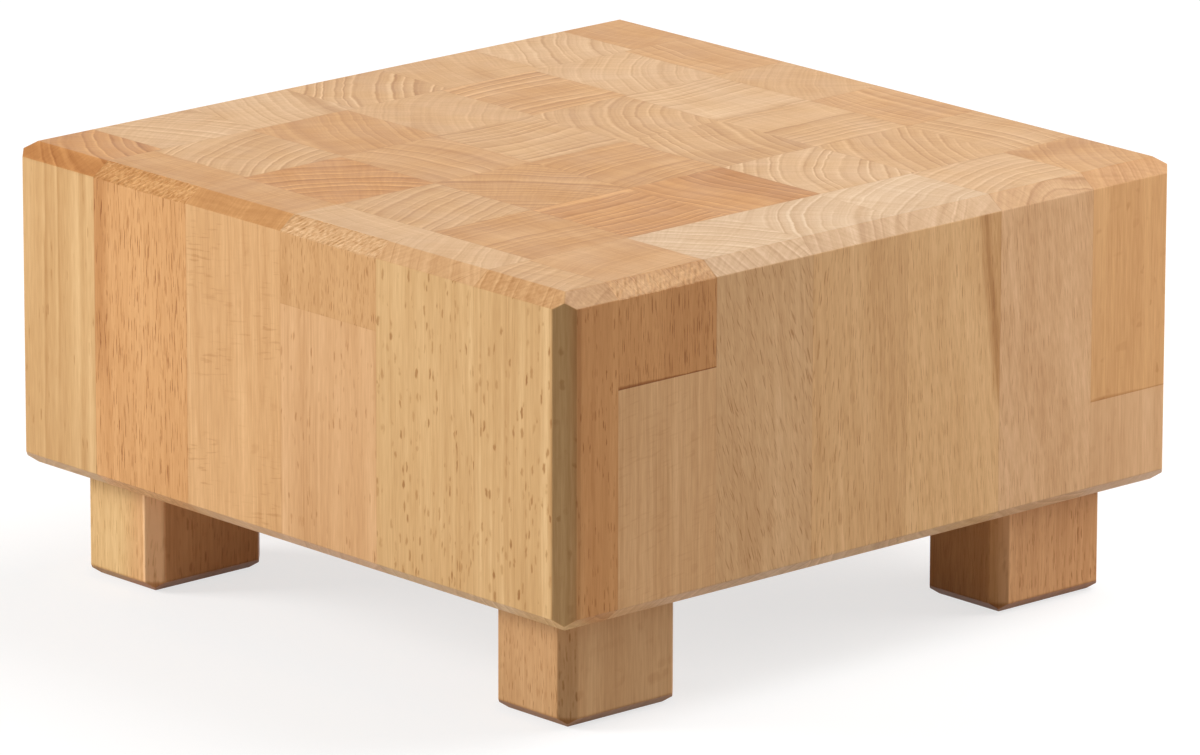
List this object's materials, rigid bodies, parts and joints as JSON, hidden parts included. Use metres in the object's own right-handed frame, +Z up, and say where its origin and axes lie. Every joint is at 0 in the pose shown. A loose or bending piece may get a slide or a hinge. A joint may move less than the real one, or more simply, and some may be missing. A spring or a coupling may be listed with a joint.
{
  "type": "butcher block cutting board",
  "caption": "Square end-grain butcher block glued up from upright beech staves, chamfered all round, on dowelled corner feet that leave a hand gap below.",
  "frame": {"origin": "on the ground under the middle of the block", "axes": "+Z up, +X from left to right along the front face, +Y from the front to the back"},
  "size_m": [0.3, 0.3, 0.1635],
  "materials": {
    "oiled_end_grain_beech": "sanded and oiled beech, satin",
    "oiled_foot_beech": "planed and oiled beech, satin",
    "bare_dowel_beech": "bare turned beech, matt"
  },
  "bodies": {
    "root": {"stave_strip1_row1": "oiled_end_grain_beech", "stave_strip1_row2": "oiled_end_grain_beech", "stave_strip1_row3": "oiled_end_grain_beech", "stave_strip1_row4": "oiled_end_grain_beech", "stave_strip1_row5": "oiled_end_grain_beech", "stave_strip1_row6": "oiled_end_grain_beech", "stave_strip1_row7": "oiled_end_grain_beech", "stave_strip2_row1": "oiled_end_grain_beech", "stave_strip2_row2": "oiled_end_grain_beech", "stave_strip2_row3": "oiled_end_grain_beech", "stave_strip2_row4": "oiled_end_grain_beech", "stave_strip2_row5": "oiled_end_grain_beech", "stave_strip2_row6": "oiled_end_grain_beech", "stave_strip2_row7": "oiled_end_grain_beech", "stave_strip3_row1": "oiled_end_grain_beech", "stave_strip3_row2": "oiled_end_grain_beech", "stave_strip3_row3": "oiled_end_grain_beech", "stave_strip3_row4": "oiled_end_grain_beech", "stave_strip3_row5": "oiled_end_grain_beech", "stave_strip3_row6": "oiled_end_grain_beech", "stave_strip3_row7": "oiled_end_grain_beech", "stave_strip4_row1_lower": "oiled_end_grain_beech", "stave_strip4_row1_upper": "oiled_end_grain_beech", "stave_strip4_row2": "oiled_end_grain_beech", "stave_strip4_row3": "oiled_end_grain_beech", "stave_strip4_row4": "oiled_end_grain_beech", "stave_strip4_row5": "oiled_end_grain_beech", "stave_strip4_row6": "oiled_end_grain_beech", "stave_strip4_row7": "oiled_end_grain_beech", "stave_strip5_row1": "oiled_end_grain_beech", "stave_strip5_row2": "oiled_end_grain_beech", "stave_strip5_row3": "oiled_end_grain_beech", "stave_strip5_row4": "oiled_end_grain_beech", "stave_strip5_row5": "oiled_end_grain_beech", "stave_strip5_row6": "oiled_end_grain_beech", "stave_strip5_row7": "oiled_end_grain_beech", "stave_strip6_row1": "oiled_end_grain_beech", "stave_strip6_row2_lower": "oiled_end_grain_beech", "stave_strip6_row2_upper": "oiled_end_grain_beech", "stave_strip6_row3": "oiled_end_grain_beech", "stave_strip6_row4": "oiled_end_grain_beech", "stave_strip6_row5": "oiled_end_grain_beech", "stave_strip6_row6": "oiled_end_grain_beech", "stave_strip6_row7_lower": "oiled_end_grain_beech", "stave_strip6_row7_upper": "oiled_end_grain_beech", "foot_front_left": "oiled_foot_beech", "foot_front_right": "oiled_foot_beech", "foot_back_left": "oiled_foot_beech", "foot_back_right": "oiled_foot_beech", "dowel_front_left_1": "bare_dowel_beech", "dowel_front_left_2": "bare_dowel_beech", "dowel_front_right_1": "bare_dowel_beech", "dowel_front_right_2": "bare_dowel_beech", "dowel_back_left_1": "bare_dowel_beech", "dowel_back_left_2": "bare_dowel_beech", "dowel_back_right_1": "bare_dowel_beech", "dowel_back_right_2": "bare_dowel_beech"}
  },
  "joints": []
}
